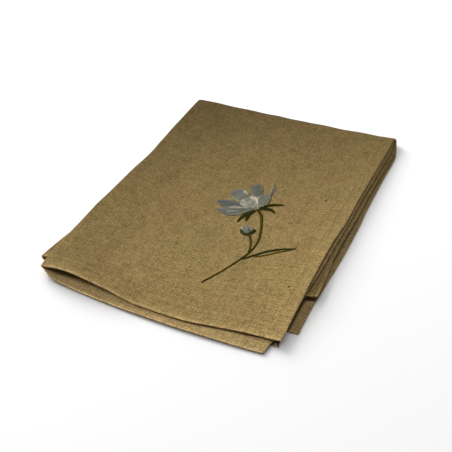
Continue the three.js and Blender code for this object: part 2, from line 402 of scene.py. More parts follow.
def makeLinenSheet():
    size = linenSheet
    radius = size["sideFoldRadius"]
    columns = gridLines(
        radius, size["sideFoldCells"], size["turnedWidth"], size["faceWidth"], size["acrossCells"])
    rows = gridLines(
        2 * radius, size["backFoldCells"], size["lowerLength"], size["upperLength"], size["alongCells"])
    shape = (len(rows), len(columns))
    along, across = (grid.ravel() for grid in np.meshgrid(rows, columns, indexing="ij"))
    distance = hemDistance(across, along)
    hemShare = smoothStep(distance, size["hemWidth"], size["hemWidth"] - size["hemStep"])
    wrongSide = size["wrongSide"] + (size["hemWrongSide"] - size["wrongSide"]) * hemShare
    middleShift = (size["rightSide"] - wrongSide) / 2
    halfThickness = (size["rightSide"] + wrongSide) / 2
    inEdge = np.clip(1 - distance / size["edgeRound"], 0, 1)
    halfThickness = halfThickness * np.sqrt(1 - inEdge**2)    # a round turned edge
    dent = stitchDent(across, along, distance) * (inEdge == 0)
    place = roundedCorners(across, along)
    middle, normal = clothMiddle(*place), clothNormal(*place)
    right = middle + normal * (middleShift + halfThickness - dent)[:, None]
    wrong = middle + normal * (middleShift - halfThickness + dent)[:, None]

    rightIndex = np.arange(across.size).reshape(shape)
    isRim = np.ones(shape, bool)
    isRim[1:-1, 1:-1] = False
    wrongIndex = rightIndex.copy()
    wrongIndex[~isRim] = across.size + np.arange((~isRim).sum())
    points = toFrame(np.concatenate([right, wrong[~isRim.ravel()]]))

    def quads(index):
        corners = [index[:-1, :-1], index[1:, :-1], index[1:, 1:], index[:-1, 1:]]
        return np.stack(corners, axis=-1).reshape(-1, 4)

    faces = np.concatenate([quads(rightIndex), quads(wrongIndex)[:, ::-1]])
    mesh = bpy.data.meshes.new("linenSheet")
    mesh.from_pydata(points.tolist(), [], faces.tolist())
    inner = ~isRim.ravel()
    flat = flatMetres(across, along)
    flat = np.concatenate([flat, flat[inner]])
    uv = mesh.uv_layers.new(name="flatCloth")
    uv.data.foreach_set("uv", flat[faces.ravel()].ravel())
    onWrongSide = np.concatenate([np.zeros(across.size), hemShare[inner]])
    storePoints(mesh, "turnedHem", onWrongSide)
    endDistance = np.minimum(size["upperLength"] - along, size["lowerLength"] + along)
    litEdgeDistance = np.minimum(endDistance, distance + size["plainerSides"])    # painted edge light and hem shading, weaker along the sides than at the ends
    fromEdge = np.concatenate([litEdgeDistance, litEdgeDistance[inner] + size["plainerSides"] * 0.4])
    storePoints(mesh, "fromEdge", fromEdge)
    mesh.shade_smooth()
    return addObject("linenSheet", mesh)


sheet = makeLinenSheet()
print("cloth sheet made:", len(sheet.data.polygons), "faces")


# small helpers for node trees
def setInputs(tree, node, values):    # a socket is linked, anything else is set
    for key, value in values.items():
        if isinstance(value, bpy.types.NodeSocket):
            tree.links.new(value, node.inputs[key])
        else:
            node.inputs[key].default_value = value


def addNode(tree, kind, values=None, **settings):
    node = tree.nodes.new(kind)
    for name, setting in settings.items():
        setattr(node, name, setting)
    setInputs(tree, node, values or {})
    return node


def firstOf(tree, kind, values=None, **settings):    # a new node's first output
    return addNode(tree, kind, values, **settings).outputs[0]


def calc(tree, operation, a, b=0.0, c=0.0):
    return firstOf(tree, "ShaderNodeMath", {0: a, 1: b, 2: c}, operation=operation)


def times(tree, a, b):
    return calc(tree, "MULTIPLY", a, b)


def swing(tree, value, amount, middle):    # a value from 0 to 1 moves a number about its middle
    return calc(tree, "MULTIPLY_ADD", calc(tree, "SUBTRACT", value, 0.5), amount, middle)


def scaled(tree, vector, amount):
    return firstOf(tree, "ShaderNodeVectorMath", {0: vector, "Scale": amount}, operation="SCALE")


def multiplied(tree, vector, other):
    return firstOf(tree, "ShaderNodeVectorMath", {0: vector, 1: other}, operation="MULTIPLY")


def vectorOf(tree, x, y, z=0.0):
    return firstOf(tree, "ShaderNodeCombineXYZ", {0: x, 1: y, 2: z})


def partsOf(tree, vector):
    return addNode(tree, "ShaderNodeSeparateXYZ", {0: vector}).outputs


def mixed(tree, share, low, high):
    return firstOf(tree, "ShaderNodeMix", {0: share, 2: low, 3: high}, data_type="FLOAT")


def mixedColor(tree, share, low, high):
    return addNode(tree, "ShaderNodeMix", {0: share, 6: low, 7: high}, data_type="RGBA").outputs[2]


def ranged(tree, value, low, high, first=0.0, last=1.0):
    return firstOf(tree, "ShaderNodeMapRange", {0: value, 1: low, 2: high, 3: first, 4: last})


def noiseAt(tree, place, scale, detail, roughness=0.5, dimensions="3D"):
    values = {"Vector": place, "Scale": scale, "Detail": detail, "Roughness": roughness}
    return addNode(tree, "ShaderNodeTexNoise", values, noise_dimensions=dimensions).outputs


def rampOf(tree, value, stops):    # the first two stops are the ramp's ends
    ramp = addNode(tree, "ShaderNodeValToRGB", {0: value})
    for k, (place, color) in enumerate(stops):
        stop = ramp.color_ramp.elements[k] if k < 2 else ramp.color_ramp.elements.new(place)
        stop.position = place
        stop.color = (*color, 1)
    return ramp.outputs[0]


def pointValue(tree, name):    # a value kept on the piece's points
    return addNode(tree, "ShaderNodeAttribute", attribute_name=name).outputs["Fac"]


def addSocket(tree, label, value, direction):    # a word names a kind, anything else is a value
    kinds = {str: value, int: "Int", float: "Float", tuple: "Vector"}
    kind = kinds[type(value)]
    socket = tree.interface.new_socket(label, in_out=direction, socket_type="NodeSocket" + kind)
    if kind != value:
        socket.default_value = value


def newTree(name, kind, inputs, outputs):
    tree = bpy.data.node_groups.new(name, kind)
    for direction, sockets in (("INPUT", inputs), ("OUTPUT", outputs)):
        for label, value in sockets.items():
            addSocket(tree, label, value, direction)
    return tree, addNode(tree, "NodeGroupInput").outputs, addNode(tree, "NodeGroupOutput")


def runTree(piece, tree, values):    # puts a geometry tree on a piece and keeps its result
    modifier = piece.modifiers.new(tree.name, "NODES")
    modifier.node_group = tree
    for item in tree.interface.items_tree:
        if item.in_out == "INPUT" and item.name in values:
            modifier[item.identifier] = values[item.name]
    evaluated = piece.evaluated_get(bpy.context.evaluated_depsgraph_get())
    result = bpy.data.meshes.new_from_object(evaluated)
    piece.modifiers.remove(modifier)
    piece.data = result
    result.name = piece.name
    return piece


def storeValue(tree, curve, label, value):
    values = {"Geometry": curve, "Name": label, "Value": value}
    return firstOf(tree, "GeometryNodeStoreNamedAttribute", values, data_type="FLOAT", domain="POINT")


def storedValue(tree, label, kind="FLOAT"):
    return firstOf(tree, "GeometryNodeInputNamedAttribute", {"Name": label}, data_type=kind)


def finishThreads(tree, shapes, material):    # smooth, real and painted
    smooth = firstOf(tree, "GeometryNodeSetShadeSmooth", {0: shapes})
    real = firstOf(tree, "GeometryNodeRealizeInstances", {0: smooth})
    return firstOf(tree, "GeometryNodeSetMaterial", {"Geometry": real, "Material": material})


def makeThreadTree():    # lays a round thread along every guide line
    tree, given, result = newTree("threadsOnGuides", "GeometryNodeTree", {
        "Guides": "Geometry",
        "Thread Radius": 0.0002,
        "Thread Sides": 6,
        "Thread": "Material",
    }, {"Threads": "Geometry"})
    curve = firstOf(tree, "GeometryNodeMeshToCurve", {0: given["Guides"]})
    run = addNode(tree, "GeometryNodeSplineParameter")
    curve = storeValue(tree, curve, "run", run.outputs["Length"])
    circle = firstOf(
        tree, "GeometryNodeCurvePrimitiveCircle",
        {"Resolution": given["Thread Sides"], "Radius": given["Thread Radius"]})
    around = addNode(tree, "GeometryNodeSplineParameter")
    circle = storeValue(tree, circle, "round", around.outputs["Factor"])
    tube = firstOf(tree, "GeometryNodeCurveToMesh", {
        "Curve": curve,
        "Profile Curve": circle,
        "Scale": storedValue(tree, "girth"),
        "Fill Caps": True,
    })
    setInputs(tree, result, {"Threads": finishThreads(tree, tube, given["Thread"])})
    return tree


def makeStitchTree():    # sews a row of stitches along every guide line
    tree, given, result = newTree("stitchesOnGuides", "GeometryNodeTree", {
        "Guides": "Geometry",
        "Stitch Pitch": 0.003,
        "Stitch Size": (0.002, 0.0004, 0.0003),
        "Unevenness": 0.15,
        "Seed": 3,
        "Thread": "Material",
    }, {"Stitches": "Geometry"})
    curve = firstOf(tree, "GeometryNodeMeshToCurve", {0: given["Guides"]})
    points = firstOf(
        tree, "GeometryNodeResampleCurve", {"Curve": curve, "Length": given["Stitch Pitch"]}, mode="LENGTH")
    tangent = firstOf(tree, "GeometryNodeInputTangent")
    turned = firstOf(tree, "FunctionNodeAlignRotationToVector", {"Vector": tangent}, axis="X")
    facing = {"Rotation": turned, "Vector": storedValue(tree, "facing", "FLOAT_VECTOR")}
    turned = firstOf(tree, "FunctionNodeAlignRotationToVector", facing, axis="Z", pivot_axis="X")
    low = calc(tree, "SUBTRACT", 1.0, given["Unevenness"])
    high = calc(tree, "ADD", 1.0, given["Unevenness"])
    spread = addNode(
        tree, "FunctionNodeRandomValue", {2: low, 3: high, "Seed": given["Seed"]}, data_type="FLOAT")
    stitches = firstOf(tree, "GeometryNodeInstanceOnPoints", {
        "Points": points,
        "Instance": firstOf(tree, "GeometryNodeMeshUVSphere", {"Segments": 8, "Rings": 6, "Radius": 0.5}),
        "Rotation": turned,
        "Scale": scaled(tree, given["Stitch Size"], spread.outputs[1]),
    })
    setInputs(tree, result, {"Stitches": finishThreads(tree, stitches, given["Thread"])})
    return tree


def guideMesh(name, lines, **attributes):    # lines of points as edges, with values for each point
    counts = [len(line) for line in lines]
    starts = np.cumsum([0, *counts[:-1]])
    edges = [(start + k, start + k + 1) for start, count in zip(starts, counts) for k in range(count - 1)]
    mesh = bpy.data.meshes.new(name)
    mesh.from_pydata(np.concatenate(lines).tolist(), edges, [])
    for label, values in attributes.items():
        storePoints(mesh, label, np.concatenate(values))
    return addObject(name, mesh)


# shader groups and materials
weaveRule = {
    "driftScale": 70.0,
    "mottleScale": 26.0,
    "yarnMiddle": 0.55,           # a yarn's height between going over and under
    "yarnSwing": 0.45,
    # noise along a yarn: its step from yarn to yarn, its stretch, detail and layer
    "slubNoise": (3.73, 1.0, 0.6),
    "slubLayers": 31.7,           # the two directions of yarn lie this far apart in it
    "streakNoise": (0.62, 0.16, 0.0, 11.3),
    "fleckNoise": (1.37, 4.0, 1.0, 7.7),
    "rhythmTurns": (9.0, 1.9),    # with the streaks, and from yarn to yarn
    "fleckLimits": (0.72, 0.8),
    "toneLimits": (-0.14, 1.14),
    # painted shade between the yarns: the yarn heights it runs between, and its shades
    "gapShadeHeights": (0.15, 0.8),
    "gapShadeRange": (0.66, 1.09),
    "greenDrift": -0.4,
    "thickness": 0.35,
    "roughness": (-0.12, 0.95),   # what the tone adds, and the most
}


def yarnNoise(tree, index, run, step, stretch, detail, layer):    # unlike from yarn to yarn
    spot = vectorOf(tree, times(tree, index, step), times(tree, run, stretch), layer)
    return noiseAt(tree, spot, 1.0, detail)["Fac"]


def makeWeaveGroup():    # plain weave from the flat cloth's own coordinates, in metres
    rule = weaveRule
    tree, given, result = newTree("plainWeave", "ShaderNodeTree", {
        "Flat Place": "Vector",
        "Threads Across": 1500.0,
        "Threads Along": 1400.0,
        "Wander": 0.35,
        "Slub Length": 0.0011,
        "Crossing Grain": 0.5,
        "Streaks": 0.35,
        "Rhythm": 0.26,
        "Mottling": 0.03,
        "Hue Drift": 0.12,
        "Dark Yarn": "Color",
        "Pale Yarn": "Color",
        "Fleck": "Color",
        "Flecks": 0.75,
    }, {"Color": "Color", "Height": "Float", "Roughness": "Float"})
    place = partsOf(tree, given["Flat Place"])
    drift = noiseAt(tree, given["Flat Place"], rule["driftScale"], 2.0, dimensions="2D")
    drift = partsOf(tree, drift["Color"])
    indices, shares = [], []
    for axis, label in enumerate(("Threads Across", "Threads Along")):
        wander = times(tree, calc(tree, "SUBTRACT", drift[axis], 0.5), given["Wander"])
        count = calc(tree, "ADD", times(tree, place[axis], given[label]), wander)
        indices.append(calc(tree, "FLOOR", count))
        shares.append(calc(tree, "FRACT", count))
    parity = calc(tree, "MODULO", calc(tree, "ADD", indices[0], indices[1]), 2.0)
    sign = calc(tree, "SUBTRACT", 1.0, times(tree, parity, 2.0))
    bulge = [calc(tree, "SINE", times(tree, share, math.pi)) for share in shares]
    heights = []
    for own, other, amount in ((0, 1, rule["yarnSwing"]), (1, 0, -rule["yarnSwing"])):
        over = calc(tree, "MULTIPLY_ADD", times(tree, bulge[other], sign), amount, rule["yarnMiddle"])
        heights.append(times(tree, bulge[own], over))
    isWarp = calc(tree, "GREATER_THAN", *heights)
    height = calc(tree, "MAXIMUM", *heights)

    slubs, streaks, rhythms, flecks = [], [], [], []
    for index, other in ((indices[0], place[1]), (indices[1], place[0])):
        run = calc(tree, "DIVIDE", other, given["Slub Length"])
        layer = len(slubs) * rule["slubLayers"]
        slubs.append(yarnNoise(tree, index, run, *rule["slubNoise"], layer))
        streaks.append(yarnNoise(tree, index, run, *rule["streakNoise"]))
        turn = times(tree, index, rule["rhythmTurns"][1])
        turn = calc(tree, "MULTIPLY_ADD", streaks[-1], rule["rhythmTurns"][0], turn)
        rhythms.append(calc(tree, "SINE", turn))
        fleck = yarnNoise(tree, index, run, *rule["fleckNoise"])
        flecks.append(ranged(tree, fleck, *rule["fleckLimits"]))
    slub, streak, rhythm, fleck = (
        mixed(tree, isWarp, pair[1], pair[0]) for pair in (slubs, streaks, rhythms, flecks))
    broad = noiseAt(tree, given["Flat Place"], rule["mottleScale"], 4.0, 0.6, "2D")
    cell = vectorOf(tree, indices[0], indices[1])
    grain = firstOf(tree, "ShaderNodeTexWhiteNoise", {"Vector": cell}, noise_dimensions="2D")
    tone = swing(tree, streak, given["Streaks"], slub)
    tone = calc(tree, "MULTIPLY_ADD", rhythm, given["Rhythm"], tone)
    tone = swing(tree, broad["Fac"], given["Mottling"], tone)
    tone = swing(tree, grain, given["Crossing Grain"], tone)
    tone = ranged(tree, tone, *rule["toneLimits"])

    color = mixedColor(tree, tone, given["Dark Yarn"], given["Pale Yarn"])
    color = mixedColor(tree, times(tree, fleck, given["Flecks"]), color, given["Fleck"])
    paintedGapShade = ranged(tree, height, *rule["gapShadeHeights"], *rule["gapShadeRange"])    # painted shade between the yarns, darker where a yarn dips
    color = scaled(tree, color, paintedGapShade)
    hue = calc(tree, "SUBTRACT", partsOf(tree, broad["Color"])[1], 0.5)
    hue = times(tree, hue, given["Hue Drift"])
    redder = calc(tree, "ADD", hue, 1.0)
    greener = calc(tree, "MULTIPLY_ADD", hue, rule["greenDrift"], 1.0)
    color = multiplied(tree, color, vectorOf(tree, redder, greener, redder))
    setInputs(tree, result, {
        "Color": color,
        "Height": swing(tree, tone, rule["thickness"], height),
        "Roughness": calc(tree, "MULTIPLY_ADD", tone, *rule["roughness"]),
    })
    return tree


threadFinish = {
    "strands": 2,
    "shade": (0.22, 0.82),        # painted shade between the strands: what a strand's height adds, and the least
    "bumpStrength": 0.5,
    "bumpDepth": 0.00006,
    "specular": 0.02,
}


def makeTwistGroup():    # the ply of a sewing or embroidery thread, from the thread's own run, with painted shade between the strands
    tree, given, result = newTree(
        "threadTwist", "ShaderNodeTree",
        {"Run": 0.0, "Round": 0.0, "Twist Length": 0.0009},
        {"Shade": "Float", "Height": "Float"})
    turn = calc(tree, "ADD", calc(tree, "DIVIDE", given["Run"], given["Twist Length"]), given["Round"])
    wave = calc(tree, "SINE", times(tree, turn, 2 * math.pi * threadFinish["strands"]))
    height = calc(tree, "MULTIPLY_ADD", wave, 0.5, 0.5)
    shade = calc(tree, "MULTIPLY_ADD", height, *threadFinish["shade"])
    setInputs(tree, result, {"Height": height, "Shade": shade})
    return tree


weaveGroup = makeWeaveGroup()
twistGroup = makeTwistGroup()


def newMaterial(name):
    material = bpy.data.materials.new(name)
    material.use_nodes = True
    tree = material.node_tree
    tree.nodes.clear()
    shader = addNode(tree, "ShaderNodeBsdfPrincipled")
    addNode(tree, "ShaderNodeOutputMaterial", {0: shader.outputs[0]})
    return material, tree, shader


linenFinish = {
    "yarns": {
        "Dark Yarn": (0.108, 0.068, 0.018, 1),
        "Pale Yarn": (0.390, 0.275, 0.108, 1),
        "Fleck": (0.035, 0.022, 0.010, 1),
        "Flecks": 0.75,
    },
    # the turned hem's wrong side: partly its own paler, bluer colour, partly painted light on the turned
    # strips
    "turnedTintAndLight": (1.14, 1.16, 1.29),
    "edgeBlue": 0.2,              # how much bluer a paler painted shade of the edge is
    "edgeReach": 20.0,            # mm in from the edge, for the painted shades below
    # painted highlight on the rolled edge, then a painted light line and shade band where the hem is sewn:
    # share of the reach, and shade
    "paintedEdgeShades": ((0.0, 1.65), (1.0, 1.0), (0.045, 1.6), (0.09, 1.14), (0.3, 1.02), (0.48, 1.0),
                   (0.54, 1.1), (0.62, 0.96), (0.8, 0.97)),
    # dark specks on the face: x and y in mm from its middle, and radius
    "specks": ((66.4, 21.2, 1.5), (75.6, -70.4, 1.3), (9.0, -70.6, 1.0), (-38.0, -34.0, 1.0)),
    "speckCore": 0.4,             # share of the radius that is darkest
    "speckShade": 0.3,
    "bumpStrength": 0.8,
    "bumpDepth": 0.00025,
    "specular": 0.12,
    "sheen": 0.04,
    "sheenRoughness": 0.5,
}


def bumped(tree, finish, height):
    return firstOf(tree, "ShaderNodeBump", {
        "Strength": finish["bumpStrength"], "Distance": finish["bumpDepth"], "Height": height})


def makeLinenMaterial():
    finish = linenFinish
    material, tree, shader = newMaterial("linen")
    flat = firstOf(tree, "ShaderNodeUVMap", uv_map="flatCloth")
    weave = addNode(
        tree, "ShaderNodeGroup", {"Flat Place": flat, **finish["yarns"]}, node_tree=weaveGroup)
    # tint of the turned hem, partly painted light
    tint = addNode(
        tree, "ShaderNodeMix",
        {0: pointValue(tree, "turnedHem"), 4: (1, 1, 1), 5: finish["turnedTintAndLight"]}, data_type="VECTOR")
    color = multiplied(tree, weave.outputs["Color"], tint.outputs[1])
    reach = calc(tree, "DIVIDE", pointValue(tree, "fromEdge"), finish["edgeReach"])
    blue = finish["edgeBlue"]
    halves = [
        (place, (shade / 2, shade / 2, shade / 2 * (1 - blue + blue * shade)))
        for place, shade in finish["paintedEdgeShades"]
    ]
    color = multiplied(tree, color, rampOf(tree, reach, halves))    # painted highlight along the edge, painted light and shade where the hem is sewn
    color = scaled(tree, color, 2.0)
    for x, y, radius in finish["specks"]:
        spot = flatMetres(*flatPlace(np.array([x]), np.array([y])))[0].tolist()
        away = addNode(tree, "ShaderNodeVectorMath", {0: flat, 1: (*spot, 0)}, operation="DISTANCE")
        core = radius * finish["speckCore"] * mm
        dark = ranged(tree, away.outputs["Value"], core, radius * mm, finish["speckShade"], 1.0)
        color = scaled(tree, color, dark)
    setInputs(tree, shader, {
        "Base Color": color,
        "Roughness": weave.outputs["Roughness"],
        "Normal": bumped(tree, finish, weave.outputs["Height"]),
        "Specular IOR Level": finish["specular"],
        "Sheen Weight": finish["sheen"],
        "Sheen Roughness": finish["sheenRoughness"],
    })
    return material


def makeThreadMaterial(name, ramp, roughness, twistLength):
    material, tree, shader = newMaterial(name)
    twist = addNode(tree, "ShaderNodeGroup", {
        "Run": pointValue(tree, "run"),
        "Round": pointValue(tree, "round"),
        "Twist Length": twistLength,
    }, node_tree=twistGroup)
    color = rampOf(tree, pointValue(tree, "tone"), ramp)
    setInputs(tree, shader, {
        "Base Color": scaled(tree, color, twist.outputs["Shade"]),
        "Normal": bumped(tree, threadFinish, twist.outputs["Height"]),
        "Roughness": roughness,
        "Specular IOR Level": threadFinish["specular"],
    })
    return material


linen = makeLinenMaterial()
sheet.data.materials.append(linen)

# each thread's shades by tone, its roughness and the length of its twist in metres
petalThread = makeThreadMaterial("petalThread", (
    (0.0, (0.138, 0.152, 0.145)),
    (1.0, (0.72, 0.68, 0.52)),
    (0.35, (0.200, 0.212, 0.182)),
    (0.6, (0.290, 0.290, 0.230)),
    (0.8, (0.470, 0.445, 0.326)),
), 0.6, 0.0012)
leafThread = makeThreadMaterial("leafThread", (
    (0.0, (0.022, 0.034, 0.012)),
    (1.0, (0.185, 0.160, 0.035)),
    (0.12, (0.036, 0.032, 0.0025)),
    (0.5, (0.072, 0.058, 0.005)),
), 0.6, 0.0012)
sewingThread = makeThreadMaterial("sewingThread", (
    (0.0, (0.175, 0.122, 0.048)),
    (1.0, (0.235, 0.168, 0.072)),
), 0.6, 0.0008)
# the loose ends' darkest tones are painted shade, as under the face's corner
shadedLooseYarn = makeThreadMaterial("shadedLooseYarn", (
    (0.0, (0.030, 0.016, 0.006)),
    (1.0, (0.36, 0.27, 0.13)),
    (0.3, (0.075, 0.045, 0.018)),
), 0.9, 0.0008)
print("materials made")


def clothSurface(across, along, lift):    # a place over the cloth's right side, in metres
    normal = clothNormal(across, along)
    return toFrame(clothMiddle(across, along) + normal * (linenSheet["rightSide"] + lift)[:, None])


def restOnTable(piece):    # presses flat what would reach below the table
    mesh = piece.data
    points = np.empty(len(mesh.vertices) * 3)
    mesh.vertices.foreach_get("co", points)
    points[2::3] = np.maximum(points[2::3], 0)
    mesh.vertices.foreach_set("co", points)
    mesh.update()


restOnTable(sheet)


def sewHems():
    sewing, size = hemSewing, linenSheet
    sides = (-size["turnedWidth"] + sewing["inset"], size["faceWidth"] - sewing["inset"])
    ends = (-size["lowerLength"] + sewing["inset"], size["upperLength"] - sewing["inset"])
    acrossRun, alongRun = (
        np.linspace(*limits, int((limits[1] - limits[0]) / sewing["guideStep"])) for limits in (sides, ends))
    paths = [(acrossRun, np.full(acrossRun.size, end)) for end in ends]
    paths += [(np.full(alongRun.size, side), alongRun) for side in sides]
    lines, facings = [], []
    for across, along in paths:
        normal = clothNormal(across, along)
        middle = clothMiddle(across, along)
        dent = stitchDent(across, along, np.full(across.size, sewing["inset"]))
        for outward, offset in ((1, size["rightSide"]), (-1, size["hemWrongSide"])):
            lift = offset - dent + sewing["lift"]
            lines.append(toFrame(middle + outward * normal * lift[:, None]))
            facings.append(outward * normal)
    guides = guideMesh("hemStitches", lines, facing=facings)
    return runTree(guides, makeStitchTree(), {
        "Stitch Pitch": sewing["pitch"] * mm,
        "Stitch Size": [sewing[key] * mm for key in ("length", "width", "height")],
        "Unevenness": sewing["unevenness"],
        "Seed": sewing["seed"],
        "Thread": sewingThread,
    })


hemStitches = sewHems()
restOnTable(hemStitches)
print("hems sewn:", len(hemStitches.data.polygons), "faces")


# loose yarn ends under the face's front right corner, in mm from the face's middle. The roots
# of a bundle lie from one place to another, and so do its tips
looseEnds = {
    "radius": 0.28,
    "points": 8,
    "lowest": 0.3,
    "scatter": 0.45,
    "bow": 0.35,
    # the dark yarn tones are painted shade under the face's corner
    "bundles": (
        {"roots": ((77.0, -109.0, 2.2), (81.0, -108.6, 2.4)), "tones": (0.0, 0.3),
         "tips": ((78.6, -111.8, 0.5), (81.4, -112.0, 0.5)), "count": 9},
        {"roots": ((80.6, -108.4, 2.6), (85.6, -107.8, 3.0)), "tones": (0.0, 0.12),
         "tips": ((82.0, -112.2, 0.5), (85.8, -110.6, 0.6)), "count": 14},
        {"roots": ((79.6, -109.6, 1.4), (84.4, -109.2, 1.4)), "tones": (0.3, 0.95),
         "tips": ((81.4, -114.2, 0.4), (85.8, -112.8, 0.4)), "count": 12},
    ),
}


def layLooseEnds():
    loose = looseEnds
    lines, girths, tones = [], [], []
    share = np.linspace(0, 1, loose["points"])[:, None]
    for bundle in loose["bundles"]:
        roots, tips = np.array(bundle["roots"]), np.array(bundle["tips"])
        for k in range(bundle["count"]):
            at = (k + rng.uniform(0.2, 0.8)) / bundle["count"]
            root, tip = roots[0] + (roots[1] - roots[0]) * at, tips[0] + (tips[1] - tips[0]) * at
            tip = root + (tip - root) * rng.uniform(0.7, 1.1)
            tip = tip + np.array([*rng.normal(0, loose["scatter"], 2), 0])
            line = root + (tip - root) * share
            line[:, :2] += rng.normal(0, loose["bow"], 2) * np.sin(share * math.pi)
            fall = np.sin(share[:, 0] * math.pi / 2)
            line[:, 2] = np.maximum(root[2] + (tip[2] - root[2]) * fall, loose["lowest"])
            lines.append(toFrame(line))
            girths.append(np.full(len(share), rng.uniform(0.8, 1.2)))
            tones.append(np.full(len(share), rng.uniform(*bundle["tones"])))
    return guideMesh("looseEnds", lines, girth=girths, tone=tones)


# embroidery, in mm on the face quarter: x to the right and y to the back, from its middle
satin = {
    "pitch": 0.46,
    "petalPitch": 0.56,
    "radius": 0.2,
    "sides": 6,
    "sink": 0.25,                 # how far a stitch's ends go into the cloth
    "points": 9,
    "crown": 0.25,
    "rootShare": 0.22,            # how wide a petal is at its root
    "fullness": 0.35,
    # each row of a petal: where it starts and ends, and its share of the full number of stitches
    "petalRows": ((0.0, 0.42, 0.62), (0.30, 0.74, 1.0), (0.58, 1.0, 1.0)),
    "shortest": 0.08,
    "startUneven": 0.08,
    "endUneven": (-0.06, 0.04),
    "tipUneven": 0.07,
    "petalUneven": 0.14,          # in tone, as are the next two
    "columnUneven": 0.08,
    "edgeUneven": 0.18,
    "paleBlend": 0.1,
    "palestFrom": 0.4,            # an edge as pale as this has its own stitches
    "edgeStitch": (2.2, 3.6),
    "edgeStep": (1.8, 2.8),
    "edgeArch": (-0.25, 0.12, 0.18, 0.12, -0.25),
    "edgeDrop": 0.12,             # an edge stitch lies this much lower than the petal
    "columnArch": (0.72, 1.0, 0.72),
}

# root and tip of each petal, and of the bud's head, sideways bow, width, where it is widest, how
# round it ends, lift and tones; its pale parts are a side, the shares of the length they run from
# and to, and an amount
petals = namedRows(("root", "tip", "bow", "width", "widest", "round", "lift", "tones", "pale"), {
    "backLeft": ((11.7, -3.5), (-11.4, -6.4), 1.4, 8.2, 0.62, 0.8, 0.30, (0.26, 0.08),
        ((-1, 0.2, 0.7, 0.12),)),
    "backBroad": ((14.9, 1.1), (-4.0, 10.5), 1.6, 12.6, 0.66, 0.5, 0.36, (0.46, 0.26),
        ((-1, 0.45, 1.0, 0.42), (1, 0.1, 0.6, 0.2))),
    "backTop": ((15.9, 4.8), (9.0, 22.9), -0.8, 10.2, 0.64, 0.5, 0.36, (0.40, 0.24),
        ((-1, 0.55, 1.0, 0.22),)),
    "backRight": ((24.3, 9.2), (20.1, 29.1), -2.6, 3.2, 0.5, 1.0, 0.30, (0.42, 0.36),
        ((1, 0.2, 1.0, 0.3),)),
    "frontRight": ((21.9, -3.8), (19.8, 15.0), -1.6, 10.6, 0.62, 0.55, 0.62, (0.66, 0.46),
        ((1, 0.55, 1.0, 0.35), (-1, 0.7, 1.0, 0.15))),
    "frontMiddle": ((21.4, -4.4), (8.5, 3.9), 0.4, 13.6, 0.66, 0.42, 0.66, (0.52, 0.62),
        ((-1, 0.1, 1.0, 0.55), (1, 0.35, 0.95, 0.3))),
    "frontLeft": ((19.2, -5.8), (-8.4, -14.5), 3.0, 10.4, 0.5, 0.95, 0.58, (0.58, 0.34),
        ((-1, 0.3, 0.8, 0.42), (1, 0.2, 0.5, 0.15))),
    "budHead": ((27.6, -32.6), (23.4, -23.4), 0.6, 9.4, 0.55, 0.5, 0.62, (0.25, 0.66),
        ((1, 0.3, 1.0, 0.25),)),
})

# satin columns: the points that each follows, widths at its start, middle and end, slant, lift
# and tones
columns = namedRows(("path", "widths", "slant", "lift", "tones"), {
    "stem": (((22.8, -5.0), (28.2, -10.2), (31.2, -16.4), (34.8, -25.6), (37.4, -36.6), (36.8, -48.0),
         (33.6, -57.6), (27.2, -72.2), (18.8, -86.4)),
        (2.6, 1.7, 1.4), 1.1, 0.50, (0.40, 0.30, 0.15)),
    "budStalk": (((36.1, -49.6), (34.8, -43.6), (32.6, -38.0), (29.4, -33.2)),
        (1.4, 1.7, 1.9), 0.9, 0.42, (0.25, 0.4, 0.3)),
    "leafUpper": (((34.6, -56.8), (40.0, -51.0), (46.6, -44.4), (55.4, -39.0), (65.4, -35.0)),
        (1.5, 2.5, 1.2), 1.0, 0.46, (0.12, 0.08, 0.12)),
    "leafLower": (((42.0, -51.2), (48.2, -47.0), (55.8, -41.6), (63.8, -36.4)),
        (0.9, 1.8, 1.0), 0.9, 0.36, (0.5, 0.66, 0.45)),
    "sepalFarRight": (((23.4, -3.4), (29.4, 2.6), (33.8, 4.6), (38.6, 6.0)),
        (2.2, 3.4, 1.4), 1.0, 0.75, (0.08, 0.25, 0.35)),
    "sepalRight": (((23.8, -4.6), (28.2, -2.2), (32.4, -2.0), (36.2, -4.0)),
        (2.2, 3.5, 1.4), 1.0, 0.70, (0.0, 0.08, 0.35)),
    "sepalLeft": (((21.2, -7.0), (17.6, -11.0), (15.6, -16.2), (14.4, -22.2)),
        (2.2, 3.8, 1.6), 1.0, 0.75, (0.0, 0.1, 0.35)),
    "sepalMiddle": (((22.0, -7.2), (19.6, -11.0), (19.2, -15.2), (20.0, -19.4)),
        (2.2, 3.6, 1.8), 1.0, 0.70, (0.0, 0.08, 0.4)),
    "budCup": (((20.8, -29.4), (24.0, -32.0), (28.0, -31.4), (30.8, -26.6)),
        (1.5, 5.0, 3.0), 0.6, 0.80, (0.12, 0.2, 0.0)),
    "budSepal": (((26.6, -32.2), (26.8, -29.0), (25.8, -26.2)),
        (1.6, 1.4, 0.6), 0.8, 0.86, (0.2, 0.4, 0.5)),
})


class Threads:    # collects the guide lines of one kind of thread
    def __init__(self):
        self.places, self.lifts, self.girths, self.tones = [], [], [], []

    def lay(self, xy, lift, girth, tone):
        self.places.append(xy)
        for kept, value in ((self.lifts, lift), (self.girths, girth), (self.tones, tone)):
            kept.append(np.broadcast_to(value, len(xy)).astype(float))

    def guides(self, name):
        xy = np.concatenate(self.places)
        points = clothSurface(*flatPlace(xy[:, 0], xy[:, 1]), np.concatenate(self.lifts))
        ends = np.cumsum([len(place) for place in self.places])[:-1]
        tones = [np.clip(tone, 0, 1) for tone in self.tones]
        return guideMesh(name, np.split(points, ends), girth=self.girths, tone=tones)


